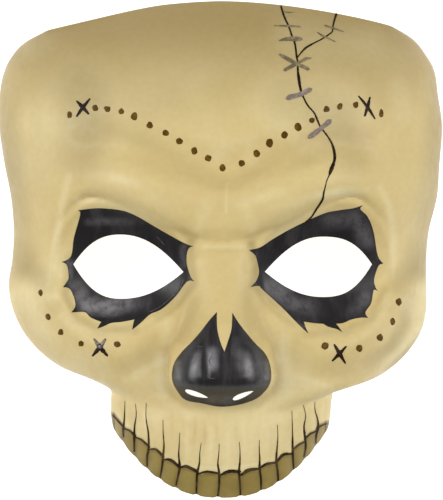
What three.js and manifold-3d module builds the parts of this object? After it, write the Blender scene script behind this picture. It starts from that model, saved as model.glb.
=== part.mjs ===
// A skull face mask, moulded in one piece, lying face up on the rims at its temples.
// Millimetres. +X is to the right of someone looking at the face, +Y goes up the face, +Z out of it.
// The origin is on the floor, under the middle of the mask.
import * as THREE from 'three';
import { mergeVertices } from 'three/addons/utils/BufferGeometryUtils.js';
import Module from 'manifold-3d';

// Driving dimensions
const WALL = 2;              // thickness of the moulding
const COLUMNS = 52;          // facets from one side of the face to the other
const CENTRE_CROWDING = 0.7; // under 1, the facets crowd towards the nose
const FACE_AXIS = 0.7;       // the nose stands a little to the right of the middle of the outline
const AXIS_SOFTNESS = 1;     // how far to each side the two halves of the relief run into each other
const RIM_FADE = 0.84;       // past this share of the half width the relief dies away to the rim
const BONE = 0xd0bc86;

// One row for each cross-section, from the top edge of the forehead down to the tips of the teeth.
// midY and endY: where the section lies at the face's axis and at its two ends. bow: how it bends between them.
// left and right: how far its ends lie from the axis. crown and rim: its heights off the floor there.
// square: how boxy its curve is, where 2 is an ellipse. facets: the strips between it and the next row.
const SECTIONS = [
  { midY: 92.5, endY: 83.5, bow: 1.7, left: 66.5, right: 64.5, crown: 44, rim: 31, square: 2.5, facets: 1 },
  { midY: 86.5, endY: 79.5, bow: 1.8, left: 74, right: 72.5, crown: 49, rim: 18, square: 2.5, facets: 1 },
  { midY: 79, endY: 74.5, bow: 2, left: 79.5, right: 77.5, crown: 54, rim: 8, square: 2.5, facets: 2 },
  { midY: 69.5, endY: 68, bow: 2, left: 83.5, right: 81.5, crown: 58.5, rim: 2, square: 2.5, facets: 2 },
  { midY: 57.5, endY: 58.5, bow: 2, left: 85.5, right: 83, crown: 62, rim: 0, square: 2.5, facets: 2 },
  { midY: 44.5, endY: 46.5, bow: 2, left: 85.5, right: 84.5, crown: 64, rim: 0, square: 2.6, facets: 3 },
  { midY: 31, endY: 32.5, bow: 2, left: 83.5, right: 83.5, crown: 64.5, rim: 0, square: 2.6, facets: 4 },
  { midY: 18.5, endY: 19.5, bow: 2, left: 81, right: 82.5, crown: 64, rim: 0, square: 2.6, facets: 4 },
  { midY: 6.5, endY: 7, bow: 2, left: 80, right: 79.5, crown: 62.5, rim: 0, square: 2.5, facets: 3 },
  { midY: -3.5, endY: -3.5, bow: 2, left: 80.5, right: 78.5, crown: 61, rim: 0, square: 2.5, facets: 3 },
  { midY: -14, endY: -14, bow: 2, left: 82, right: 78.5, crown: 60, rim: 0, square: 2.4, facets: 3 },
  { midY: -24.5, endY: -23, bow: 2, left: 80.5, right: 78.5, crown: 59.5, rim: 0, square: 2.4, facets: 3 },
  { midY: -34, endY: -31.5, bow: 2, left: 76.5, right: 76.5, crown: 59.5, rim: 2.5, square: 2.4, facets: 3 },
  { midY: -43, endY: -39, bow: 2, left: 70, right: 71.5, crown: 60, rim: 7.5, square: 2.4, facets: 3 },
  { midY: -50, endY: -45, bow: 2, left: 61.5, right: 65, crown: 61, rim: 14, square: 2.3, facets: 2 },
  { midY: -56.5, endY: -49.5, bow: 2, left: 49.5, right: 57, crown: 62, rim: 21, square: 2.3, facets: 2 },
  { midY: -62.5, endY: -53.1, bow: 2, left: 42.5, right: 43.6, crown: 63, rim: 26.5, square: 2.2, facets: 2 },
  { midY: -69, endY: -57, bow: 2, left: 42, right: 41.5, crown: 63.5, rim: 29, square: 2.2, facets: 2 },
  { midY: -77, endY: -61.5, bow: 2, left: 42, right: 41, crown: 63, rim: 30, square: 2.2, facets: 2 },
  { midY: -85.5, endY: -65.5, bow: 2.1, left: 41.5, right: 40.5, crown: 61.5, rim: 30.5, square: 2.2, facets: 2 },
  { midY: -92.5, endY: -67.5, bow: 2.33, left: 41, right: 40, crown: 58.5, rim: 31, square: 2.2 },
];

// The forehead's edge dips on the left: where, how far to each side and by how much, in the sections above fromY.
const EDGE_DIP = { x: -58, half: 40, drop: 1.7, fromY: 79, fullY: 92.5 };

// The scowling brow: a ridge that climbs away from the nose and turns down at the temple.
// y is its crest, lift how high it stands, and below how far down it reaches to the crease over the socket.
// A shallow valley runs along above it.
const BROW_CREST = [
  { out: 0, y: 13, lift: 2, below: 11 },
  { out: 18, y: 19, lift: 4.5, below: 12 },
  { out: 36, y: 24.5, lift: 5, below: 9 },
  { out: 50, y: 25, lift: 4, below: 6.5 },
  { out: 62, y: 20, lift: 0.8, below: 12 },
  { out: 76, y: 12, lift: 0, below: 12 },
];
const BROW = { above: 13, fullness: 3, valleyUp: 16, valleyHalf: 10, valleyDepth: 2.4, valleyOut: 62 };

// The eye socket, a bowl. One row every 30 degrees round its middle, from the side of the nose and up:
// reach is how far its edge lies from the middle, and lift how high the bone stands round that edge.
const SOCKET = { out: 35.5, y: -7, depth: 8, curve: 1.3, bone: 7, boneHalf: 11 };
const SOCKET_EDGE = [
  { reach: 24.5, lift: 0 },
  { reach: 23, lift: 0 },
  { reach: 20.5, lift: 0 },
  { reach: 22, lift: 0 },
  { reach: 27, lift: 0 },
  { reach: 27, lift: 1.5 },
  { reach: 26.5, lift: 2 },
  { reach: 26.5, lift: 3.5 },
  { reach: 25, lift: 4 },
  { reach: 23.5, lift: 3 },
  { reach: 22, lift: 1 },
  { reach: 24, lift: 0 },
];

// The nose, from between the brows down to the lip. flat: how flat its top is, where 2 is a round top.
// edge: how softly its sides run out, where 0.5 is upright at the edge.
const NOSE = [
  { y: 15, height: 0, half: 14, flat: 2.6, edge: 2 },
  { y: 4, height: 1.2, half: 14.5, flat: 2.6, edge: 2 },
  { y: -5, height: 3, half: 15, flat: 2.6, edge: 2 },
  { y: -15.5, height: 6, half: 15.5, flat: 2.6, edge: 2 },
  { y: -24.5, height: 9.8, half: 15, flat: 2.5, edge: 1.9 },
  { y: -32, height: 14.4, half: 17.6, flat: 2.9, edge: 1.9 },
  { y: -36, height: 16.4, half: 19.4, flat: 3.5, edge: 1.5 },
  { y: -40, height: 17, half: 19.8, flat: 3.8, edge: 1.05 },
  { y: -44, height: 17.3, half: 19.9, flat: 3.9, edge: 0.85 },
  { y: -48, height: 17, half: 19.9, flat: 3.9, edge: 0.8 },
  { y: -50.5, height: 15.2, half: 19.4, flat: 3.7, edge: 0.8 },
  { y: -53, height: 11, half: 18.2, flat: 3.3, edge: 0.85 },
  { y: -55.5, height: 6.4, half: 16.6, flat: 2.9, edge: 0.95 },
  { y: -58.5, height: 2.2, half: 14.8, flat: 2.4, edge: 1.1 },
  { y: -61, height: 0.4, half: 14, flat: 2, edge: 1.3 },
  { y: -65, height: 0, half: 14, flat: 2, edge: 1.5 },
];

// Swellings and hollows of the face, the same on both sides. halfX and halfY are their reach.
const SOFT_FORMS = [
  { name: 'forehead swelling', out: 38, y: 62, halfX: 32, halfY: 26, lift: 1.5 },
  { name: 'temple hollow', out: 70, y: 0, halfX: 14, halfY: 24, lift: -3.5 },
  { name: 'cheekbone arch', out: 70, y: -18, halfX: 18, halfY: 9, lift: 2.5 },
  { name: 'hollow under the cheekbone', out: 25, y: -39, halfX: 12, halfY: 10, lift: -2.2 },
  { name: 'dip under the brows', out: 0, y: 4, halfX: 13, halfY: 4, lift: -0.5 },
];

// The eye holes, by their two corners and the tops of their two arches.
const EYE_HOLES = [
  { inner: [-13.6, -8.8], top: [-37.2, 5.1], outer: [-54.9, -6], bottom: [-37.2, -18.9] },
  { inner: [16.6, -8.7], top: [38.2, 4.3], outer: [56.8, -6], bottom: [38.5, -18.2] },
];
const EYE_CORNERS = {
  innerRise: 49, innerDrop: 40, outerRise: 56, outerDrop: 60, cornerPull: 0.33, topPull: 0.38,
};

// The nostrils, leaf-shaped slits with one blunt end and one pointed end.
const NOSTRILS = [
  { blunt: [-12.9, -52.4], pointed: [-4.2, -55.1] },
  { blunt: [4.65, -55.6], pointed: [12.5, -52.45] },
];
const NOSTRIL_WIDTH = 2.1;
const NOSTRIL_PULL = 0.6;
const HOLE_CURVE_STEPS = 9;
const CUT_FROM = 30;
const CUT_TO = 100;

const { clamp, degToRad } = THREE.MathUtils;

// A smooth bump, 1 in the middle and 0 from one reach away.
const bump = (t) => (Math.abs(t) < 1 ? (1 - t * t) ** 2 : 0);

// A smooth step from 0 to 1.
const ease = (t) => THREE.MathUtils.smoothstep(t, 0, 1);

// A smooth curve through four values, read between the middle two.
function smoothBetween(a, b, c, d, t) {
  return b + 0.5 * t * (c - a + t * (2 * a - 5 * b + 4 * c - d + t * (3 * (b - c) + d - a)));
}

// One column of a table at a place between two of its rows.
function readRow(table, column, place, wraps = false) {
  const row = wraps ? Math.floor(place) : Math.min(Math.floor(place), table.length - 2);
  const at = (k) => {
    const index = wraps ? (k + table.length) % table.length : clamp(k, 0, table.length - 1);
    return table[index][column];
  };
  return smoothBetween(at(row - 1), at(row), at(row + 1), at(row + 2), place - row);
}

// One column of a table, looked up by the value of another column.
function lookUp(table, key, value, column) {
  const rises = table[1][key] > table[0][key];
  const passed = table.filter((row) => (rises ? row[key] <= value : row[key] >= value)).length;
  if (passed === 0) return table[0][column];
  if (passed === table.length) return table[passed - 1][column];
  const before = table[passed - 1][key];
  const after = table[passed][key];
  return readRow(table, column, passed - 1 + (value - before) / (after - before));
}

function browRelief(out, y) {
  const up = y - lookUp(BROW_CREST, 'out', out, 'y');
  const below = Math.min(-up / lookUp(BROW_CREST, 'out', out, 'below'), 1);
  const swell = up > 0 ? bump(up / BROW.above) : 1 - below ** BROW.fullness;
  const valley = bump((up - BROW.valleyUp) / BROW.valleyHalf) * bump(out / BROW.valleyOut);
  return lookUp(BROW_CREST, 'out', out, 'lift') * swell - BROW.valleyDepth * valley;
}

function socketRelief(out, y) {
  const across = SOCKET.out - out;
  const up = y - SOCKET.y;
  const turn = (Math.atan2(up, across) / (2 * Math.PI) + 1) % 1;
  const place = turn * SOCKET_EDGE.length;
  const reach = readRow(SOCKET_EDGE, 'reach', place, true);
  const lift = readRow(SOCKET_EDGE, 'lift', place, true);
  const far = Math.hypot(across, up);
  const sunk = SOCKET.depth * Math.max(0, 1 - (far / reach) ** 2) ** SOCKET.curve;
  return lift * bump((far - reach - SOCKET.bone) / SOCKET.boneHalf) - sunk;
}

function noseRelief(across, y) {
  const read = (column) => lookUp(NOSE, 'y', y, column);
  const share = Math.min(Math.abs(across) / read('half'), 1);
  return read('height') * (1 - share ** read('flat')) ** read('edge');
}

// How far the face stands off its plain cross-section at a place on it.
function relief(x, y) {
  const across = x - FACE_AXIS;
  const out = Math.hypot(across, AXIS_SOFTNESS) - AXIS_SOFTNESS;
  let lift = browRelief(out, y) + socketRelief(out, y) + noseRelief(across, y);
  for (const form of SOFT_FORMS) {
    lift += form.lift * bump(Math.hypot((out - form.out) / form.halfX, (y - form.y) / form.halfY));
  }
  return lift;
}

// How far the forehead's edge dips at a place across it, in a section that crosses the axis at midY.
function edgeDip(x, midY) {
  const nearEdge = ease((midY - EDGE_DIP.fromY) / (EDGE_DIP.fullY - EDGE_DIP.fromY));
  return EDGE_DIP.drop * nearEdge * bump((x - EDGE_DIP.x) / EDGE_DIP.half);
}

// A point of the outer surface, at a place down the table of sections and a turn across the face (-1 to 1).
function facePoint(place, turn) {
  const read = (column) => readRow(SECTIONS, column, place);
  const crowded = CENTRE_CROWDING * turn + (1 - CENTRE_CROWDING) * turn ** 3;
  const share = Math.sin((crowded * Math.PI) / 2);
  const x = FACE_AXIS + share * read(share < 0 ? 'left' : 'right');
  const bowed = read('midY') + (read('endY') - read('midY')) * Math.abs(share) ** read('bow');
  const y = bowed - edgeDip(x, read('midY'));
  const rim = Math.max(0, read('rim'));
  const square = read('square');
  const rise = Math.max(0, 1 - Math.abs(share) ** square) ** (1 / square);
  const fade = 1 - ease((Math.abs(share) - RIM_FADE) / (1 - RIM_FADE));
  return new THREE.Vector3(x, y, rim + (read('crown') - rim) * rise + fade * relief(x, y));
}

// The places of the facets' rows down the table of sections.
function facetRows() {
  const places = [];
  SECTIONS.slice(0, -1).forEach(({ facets }, row) => {
    for (let k = 0; k < facets; k += 1) places.push(row + k / facets);
  });
  places.push(SECTIONS.length - 1);
  return places;
}

// The outer surface as a sheet of facets.
function outerSheet(places) {
  const sheet = new THREE.PlaneGeometry(2, 1, COLUMNS, places.length - 1);
  const position = sheet.getAttribute('position');
  for (let k = 0; k < position.count; k += 1) {
    const row = Math.floor(k / (COLUMNS + 1));
    const point = facePoint(places[row], clamp(position.getX(k), -1, 1));
    position.setXYZ(k, point.x, point.y, point.z);
  }
  sheet.computeVertexNormals();
  return sheet;
}

// A closed wall: the outer sheet, a second one a wall's thickness inside it, and the rim between them.
function moulding() {
  const places = facetRows();
  const sheet = outerSheet(places);
  const outer = sheet.getAttribute('position');
  const normal = sheet.getAttribute('normal');
  const width = COLUMNS + 1;
  const points = [];
  for (let k = 0; k < outer.count; k += 1) points.push(outer.getX(k), outer.getY(k), outer.getZ(k));
  for (let k = 0; k < outer.count; k += 1) {
    const column = k % width;
    const point = new THREE.Vector3().fromBufferAttribute(outer, k);
    const inward = new THREE.Vector3().fromBufferAttribute(normal, k).negate();
    if (column === 0 || column === COLUMNS) inward.setZ(0).normalize();
    point.addScaledVector(inward, WALL);
    points.push(point.x, point.y, point.z);
  }
  const faces = [];
  const front = sheet.getIndex();
  for (let k = 0; k < front.count; k += 3) {
    const [a, b, c] = [front.getX(k), front.getX(k + 1), front.getX(k + 2)];
    faces.push(a, b, c);
    faces.push(outer.count + a, outer.count + c, outer.count + b);
  }
  const rim = [];
  const last = places.length - 1;
  for (let column = 0; column < COLUMNS; column += 1) rim.push(column);
  for (let row = 0; row < last; row += 1) rim.push(row * width + COLUMNS);
  for (let column = COLUMNS; column > 0; column -= 1) rim.push(last * width + column);
  for (let row = last; row > 0; row -= 1) rim.push(row * width);
  rim.forEach((a, k) => {
    const b = rim[(k + 1) % rim.length];
    faces.push(a, b, outer.count + a);
    faces.push(b, outer.count + b, outer.count + a);
  });
  const geometry = new THREE.BufferGeometry();
  geometry.setAttribute('position', new THREE.Float32BufferAttribute(points, 3));
  geometry.setIndex(faces);
  return geometry;
}

// A plug that cuts an outline through the face.
function plug(outline, curveSegments) {
  const depth = CUT_TO - CUT_FROM;
  const geometry = new THREE.ExtrudeGeometry(outline, { depth, curveSegments, bevelEnabled: false });
  return geometry.translate(0, 0, CUT_FROM);
}

// An arch's handle at a corner, on a slope in degrees, and its level handle at the top.
function cornerHandle(corner, top, slope) {
  const run = (top[0] - corner[0]) * EYE_CORNERS.cornerPull;
  const rise = Math.sign(top[1] - corner[1]) * Math.abs(run) * Math.tan(degToRad(slope));
  return [corner[0] + run, corner[1] + rise];
}

function topHandle(corner, top) {
  return [top[0] + (corner[0] - top[0]) * EYE_CORNERS.topPull, top[1]];
}

function eyeOutline({ inner, top, outer, bottom }) {
  const { innerRise, innerDrop, outerRise, outerDrop } = EYE_CORNERS;
  const outline = new THREE.Shape();
  outline.moveTo(...inner);
  outline.bezierCurveTo(...cornerHandle(inner, top, innerRise), ...topHandle(inner, top), ...top);
  outline.bezierCurveTo(...topHandle(outer, top), ...cornerHandle(outer, top, outerRise), ...outer);
  outline.bezierCurveTo(...cornerHandle(outer, bottom, outerDrop), ...topHandle(outer, bottom), ...bottom);
  outline.bezierCurveTo(...topHandle(inner, bottom), ...cornerHandle(inner, bottom, innerDrop), ...inner);
  return outline;
}

// A leaf: each side starts straight up or down from the blunt end and runs out to the pointed one.
function nostrilOutline({ blunt, pointed }) {
  const rise = NOSTRIL_WIDTH * 2 / 3;
  const [pullX, pullY] = blunt.map((place, axis) => place + (pointed[axis] - place) * NOSTRIL_PULL);
  const outline = new THREE.Shape();
  outline.moveTo(...blunt);
  outline.bezierCurveTo(blunt[0], blunt[1] + rise, pullX, pullY + rise, ...pointed);
  outline.bezierCurveTo(pullX, pullY - rise, blunt[0], blunt[1] - rise, ...blunt);
  return outline;
}

const wasm = await Module();
wasm.setup();

function solidOf(geometry) {
  const bare = geometry.clone();
  bare.deleteAttribute('normal');
  bare.deleteAttribute('uv');
  const merged = mergeVertices(bare);
  const vertProperties = new Float32Array(merged.getAttribute('position').array);
  const triVerts = new Uint32Array(merged.getIndex().array);
  return new wasm.Manifold(new wasm.Mesh({ numProp: 3, vertProperties, triVerts }));
}

function geometryOf(solid) {
  const { vertProperties, triVerts } = solid.getMesh();
  const geometry = new THREE.BufferGeometry();
  geometry.setAttribute('position', new THREE.BufferAttribute(vertProperties, 3));
  geometry.setIndex(new THREE.BufferAttribute(triVerts, 1));
  geometry.computeVertexNormals();
  return geometry;
}

function maskShell() {
  let shell = solidOf(moulding());
  const outlines = [...EYE_HOLES.map(eyeOutline), ...NOSTRILS.map(nostrilOutline)];
  for (const outline of outlines) shell = shell.subtract(solidOf(plug(outline, HOLE_CURVE_STEPS)));
  const paint = new THREE.MeshStandardMaterial({ color: BONE, roughness: 0.5, metalness: 0 });
  const mesh = new THREE.Mesh(geometryOf(shell), paint);
  mesh.name = 'mask_shell';
  return mesh;
}

const mask = new THREE.Group();
mask.add(maskShell());

export default mask;
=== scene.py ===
"""A moulded skull face mask, painted by hand, lying face up on the rims at its temples."""
import math

import bmesh
import bpy
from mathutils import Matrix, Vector, noise
from mathutils.bvhtree import BVHTree


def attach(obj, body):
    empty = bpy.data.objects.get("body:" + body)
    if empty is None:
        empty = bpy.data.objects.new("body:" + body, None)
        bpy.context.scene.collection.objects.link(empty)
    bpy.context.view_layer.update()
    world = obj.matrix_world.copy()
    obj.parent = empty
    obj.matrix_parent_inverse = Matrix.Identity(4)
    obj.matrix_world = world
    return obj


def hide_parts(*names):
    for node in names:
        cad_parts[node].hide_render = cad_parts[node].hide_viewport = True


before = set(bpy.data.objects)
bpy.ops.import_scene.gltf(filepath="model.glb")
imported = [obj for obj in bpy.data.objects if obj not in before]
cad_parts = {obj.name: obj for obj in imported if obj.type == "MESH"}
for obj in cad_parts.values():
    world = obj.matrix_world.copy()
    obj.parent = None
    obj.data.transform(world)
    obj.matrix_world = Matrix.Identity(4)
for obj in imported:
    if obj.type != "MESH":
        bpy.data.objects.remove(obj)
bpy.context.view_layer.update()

MM = 0.001

# The view: the photograph's frame in pixels, and a camera straight above the face.
PHOTO_WIDTH = 443
PHOTO_HEIGHT = 500
MM_PER_PIXEL = 0.38549
CAMERA_HEIGHT = 1500
CAMERA_X = 0.5
CAMERA_Y = -0.66
SENSOR = 36

# The moulding, in millimetres. The last two are heights off the floor, for pixels that give none.
WALL = 2
FACE_AXIS = 0.7
AXIS_SOFT = 1
RIM_ROUND = 0.45
FACE_HEIGHT = 62
EDGE_HEIGHT = 40

# The fine sheet that it is made from: columns across, rows to each facet of the solid, how evenly the
# columns lie, where 1 is evenly, and where the relief starts to fade towards the rim, as a share of the
# half width.
COLUMNS = 192
ROWS_PER_FACET = 4
CENTRE_CROWDING = 0.6
RIM_FADE = 0.84

# Edges that are rounded, and edges that are shaded sharp, from these angles up, in degrees.
ROUND_FROM = 50
SHARP_FROM = 40

# One row for each cross-section, from the top edge of the forehead down to the tips of the teeth: its place
# up the face at the middle and at its ends, how it bows between them, its reach to each side, the heights of
# its crown and its rim, how square it is, and the facets from it to the next one.
SECTION_COLUMNS = ("mid_y", "end_y", "bow", "left", "right", "crown", "rim", "square", "facets")
SECTIONS = [
    (92.5, 83.5, 1.7, 66.5, 64.5, 44, 31, 2.5, 1),
    (86.5, 79.5, 1.8, 74, 72.5, 49, 18, 2.5, 1),
    (79, 74.5, 2, 79.5, 77.5, 54, 8, 2.5, 2),
    (69.5, 68, 2, 83.5, 81.5, 58.5, 2, 2.5, 2),
    (57.5, 58.5, 2, 85.5, 83, 62, 0, 2.5, 2),
    (44.5, 46.5, 2, 85.5, 84.5, 64, 0, 2.6, 3),
    (31, 32.5, 2, 83.5, 83.5, 64.5, 0, 2.6, 4),
    (18.5, 19.5, 2, 81, 82.5, 64, 0, 2.6, 4),
    (6.5, 7, 2, 80, 79.5, 62.5, 0, 2.5, 3),
    (-3.5, -3.5, 2, 80.5, 78.5, 61, 0, 2.5, 3),
    (-14, -14, 2, 82, 78.5, 60, 0, 2.4, 3),
    (-24.5, -23, 2, 80.5, 78.5, 59.5, 0, 2.4, 3),
    (-34, -31.5, 2, 76.5, 76.5, 59.5, 2.5, 2.4, 3),
    (-43, -39, 2, 70, 71.5, 60, 7.5, 2.4, 3),
    (-50, -45, 2, 61.5, 65, 61, 14, 2.3, 2),
    (-56.5, -49.5, 2, 49.5, 57, 62, 21, 2.3, 2),
    (-62.5, -53.1, 2, 42.5, 43.6, 63, 26.5, 2.2, 2),
    (-69, -57, 2, 42, 41.5, 63.5, 29, 2.2, 2),
    (-77, -61.5, 2, 42, 41, 63, 30, 2.2, 2),
    (-85.5, -65.5, 2.1, 41.5, 40.5, 61.5, 30.5, 2.2, 2),
    (-92.5, -67.5, 2.33, 41, 40, 58.5, 31, 2.2, 0),
]

# The forehead's edge dips on the left, in the sections above DIP_FROM.
DIP_X = -58
DIP_HALF = 40
DIP_DROP = 1.7
DIP_FROM = 79
DIP_FULL = 92.5

# The brow's crest: how far out from the axis, its place up the face, how far it stands up, and how far down
# it reaches to the crease over the socket.
CREST_Y, CREST_LIFT, CREST_REACH = range(1, 4)
BROW_CREST = [
    (0, 13, 2, 11),
    (18, 19, 4.5, 12),
    (36, 24.5, 5, 9),
    (50, 25, 4, 6.5),
    (62, 20, 0.8, 12),
    (76, 12, 0, 12),
]

# How far the brow reaches up the forehead, how full it is under its crest, and the valley above it.
BROW_ABOVE = 13
BROW_FULLNESS = 3
VALLEY_UP = 16
VALLEY_HALF = 10
VALLEY_DEPTH = 2.4
VALLEY_OUT = 62

# The eye socket: its middle, its depth, and the bone round it. Its edge is given every 30 degrees, from the
# side of the nose and up: the distance from the middle, and how high the bone stands there.
SOCKET_OUT = 35.5
SOCKET_Y = -7
SOCKET_DEPTH = 8
SOCKET_CURVE = 1.3
SOCKET_BONE = 7
SOCKET_BONE_HALF = 11
EDGE_AWAY, EDGE_LIFT = range(2)
SOCKET_EDGE = [
    (24.5, 0),
    (23, 0),
    (20.5, 0),
    (22, 0),
    (27, 0),
    (27, 1.5),
    (26.5, 2),
    (26.5, 3.5),
    (25, 4),
    (23.5, 3),
    (22, 1),
    (24, 0),
]

# The nose, from between the brows down to the lip: its place on the face, its height and half width, how
# flat its top is, where 2 is a round top, and how softly its sides run out, where 0.5 is upright at the edge.
NOSE_LIFT, NOSE_HALF, NOSE_FLAT, NOSE_SOFT = range(1, 5)
NOSE = [
    (15, 0, 14, 2.6, 2),
    (4, 1.2, 14.5, 2.6, 2),
    (-5, 3, 15, 2.6, 2),
    (-15.5, 6, 15.5, 2.6, 2),
    (-24.5, 9.8, 15, 2.5, 1.9),
    (-32, 14.4, 17.6, 2.9, 1.9),
    (-36, 16.4, 19.4, 3.5, 1.5),
    (-40, 17, 19.8, 3.8, 1.05),
    (-44, 17.3, 19.9, 3.9, 0.85),
    (-48, 17, 19.9, 3.9, 0.8),
    (-50.5, 15.2, 19.4, 3.7, 0.8),
    (-53, 11, 18.2, 3.3, 0.85),
    (-55.5, 6.4, 16.6, 2.9, 0.95),
    (-58.5, 2.2, 14.8, 2.4, 1.1),
    (-61, 0.4, 14, 2, 1.3),
    (-65, 0, 14, 2, 1.5),
]

# Swellings and hollows on both sides of the face: out from the axis, place, reach across and up, and lift.
SOFT_FORMS = {
    "forehead swelling": (38, 62, 32, 26, 1.5),
    "temple hollow": (70, 0, 14, 24, -3.5),
    "cheekbone arch": (70, -18, 18, 9, 2.5),
    "hollow under the cheekbone": (25, -39, 12, 10, -2.2),
    "dip under the brows": (0, 4, 13, 4, -0.5),
}

# Fine forms. A bead runs round the socket's edge. The others are listed as the soft forms are, but each is
# there once, placed by how far right of the axis it lies.
BEAD_LIFT = 0.55
BEAD_HALF = 2.4
FINE_FORMS = {
    "ledge between the eyes": (0, 0.4, 10, 1.8, 0.5),
    "bulb of the nose": (-1.6, -41.5, 4.5, 9, 0.3),
    "groove beside the bulb": (-5.6, -42, 1.7, 10, -0.35),
}

# The eye holes by their corners and the tops of their arches, with the slopes at the corners in degrees, and
# the nostrils by their blunt and pointed ends. The pulls say how far the handles of the curves reach.
EYE_HOLES = {
    "left": {"inner": (-13.6, -8.8), "top": (-37.2, 5.1), "outer": (-54.9, -6), "bottom": (-37.2, -18.9)},
    "right": {"inner": (16.6, -8.7), "top": (38.2, 4.3), "outer": (56.8, -6), "bottom": (38.5, -18.2)},
}
INNER_RISE, INNER_DROP, OUTER_RISE, OUTER_DROP = 49, 40, 56, 60
CORNER_PULL = 0.33
TOP_PULL = 0.38
NOSTRILS = {
    "left": ((-12.9, -52.4), (-4.2, -55.1)),
    "right": ((4.65, -55.6), (12.5, -52.45)),
}
NOSTRIL_WIDTH = 2.1
NOSTRIL_PULL = 0.6
HOLE_STEPS = 14
CUT_FROM = 30
CUT_TO = 100

# Painted shapes, in pixels of the photograph. THORN marks a sharp corner, such as a thorn's tip.
THORN = True
EYE_BLACK = {
    "left": [
        (78.2, 210.3, THORN), (95.1, 208.3), (108.9, 208.8), (123.8, 210.9), (137.6, 216.6), (152.5, 225.3),
        (166.3, 233.3), (184.9, 243.4), (193.3, 246.1, THORN), (188.1, 249.4), (186.4, 262), (190.4, 276.3),
        (194.4, 281.3, THORN), (186.9, 281.7), (175.5, 296.4), (162, 308.8), (150.5, 314), (144.1, 319.5),
        (138.8, 324.4), (132.3, 329.7, THORN), (133.4, 323), (134.6, 319.4, THORN), (121.4, 321.9),
        (111.4, 322.9), (103.6, 326.3), (97.3, 328.6, THORN), (99.8, 324), (101.4, 322, THORN),
        (90.5, 317.3), (84.6, 312), (71.2, 312.5, THORN), (75.6, 304.5), (70.4, 289.5),
        (63, 287.2, THORN), (67, 281.5), (68.7, 276.9), (67, 265.4), (61.8, 262, THORN), (71, 256.3),
        (73.9, 237.9), (80.2, 214.9),
    ],
    "right": [
        (248.8, 249.9, THORN), (260.3, 247.3), (272.4, 239.4), (288.2, 230.3), (303.9, 222.4),
        (324.5, 213.3), (339.1, 210.3), (353.6, 208.2), (363.3, 205.1, THORN), (360.3, 209.1),
        (366.9, 215.8), (371.2, 224.2), (374.2, 235.1), (377.8, 255.7), (383.3, 263.6, THORN),
        (378.4, 266), (374.2, 278.8), (375.4, 287.2), (378.1, 291.1, THORN), (373.6, 290.3),
        (371.2, 303), (365.4, 312.4), (368.3, 318, THORN),
        (361.7, 317.5), (351.7, 319.4), (343.3, 322.9), (336, 323.8, THORN), (338.8, 327.2),
        (342.6, 332.5, THORN), (336.4, 328.9), (328.3, 326.7), (323.3, 323.8, THORN), (313.3, 323),
        (303.8, 321.6, THORN), (306, 328), (308.3, 333.3, THORN), (301, 326.8), (294.6, 320.4),
        (283.3, 308.6), (262.7, 289.7), (259.1, 286),
        (250.4, 287, THORN), (256.1, 281.2), (259.1, 272.7), (257.9, 264.2), (255.4, 255.7),
    ],
}
NOSE_BLACK = [
    (216.8, 312, THORN), (217.2, 328.7), (220.7, 343), (224.4, 351.8, THORN), (228.4, 339.9),
    (231.6, 328.7), (232.4, 312.8, THORN), (238.3, 322.3), (247, 333.5), (255.8, 343.8), (264.6, 352.6),
    (269.4, 362.2), (271.3, 373.3), (270.2, 382.9), (265.4, 390.9), (257.4, 398), (246.3, 402.8),
    (231.9, 406), (217.6, 406.5), (203.2, 403.6), (185.7, 400.1), (177.7, 391.7), (172.9, 382.9),
    (171.8, 373.3), (174.5, 362.2), (182.5, 351), (192, 341.5), (201.6, 330.3), (209.6, 319.9),
]

# Dots dabbed on with the end of a brush: place, half width and half height in pixels.
BROW_DOTS = [
    (69.4, 114.7, 2.3, 3.6), (95.3, 108, 2.9, 3.3), (107.3, 109, 3.3, 3), (121.3, 111.3, 2.7, 3.1),
    (134.1, 116.5, 3.4, 3.7), (149.7, 125.2, 3.2, 3.4), (165.7, 132.8, 3.1, 3.2), (179.5, 141.3, 3.3, 3.3),
    (194.3, 150.8, 3.3, 3.5), (208.1, 158, 3.2, 3.3), (222.5, 168, 3.3, 3.5), (241.5, 163, 3.2, 3.3),
    (256.4, 153.6, 3.2, 3.8), (269.5, 143.3, 3.5, 4.2), (284.6, 135, 3.1, 3.7), (298.1, 127, 3.6, 4.3),
    (311.9, 120.4, 2.9, 2.9), (326.4, 109.4, 2.9, 3.2), (340, 106.3, 2.7, 3.5), (355.8, 104.7, 2.7, 3.4),
    (381.3, 113.5, 2.2, 4.3),
]
CHEEK_DOTS = [
    (40.6, 292.8, 2.2, 3.4), (48, 316.9, 2.6, 3.3), (60.7, 332, 2.7, 3.1), (81, 343.5, 2.9, 3),
    (117.3, 344.6, 3.2, 3.2), (398.8, 301.8, 2.9, 3.8), (392.7, 321.4, 2.4, 3.7), (379.9, 337.2, 3.1, 3.9),
    (359.4, 348.4, 3.2, 3.7), (325.1, 346, 3.6, 3.8),
]

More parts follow.
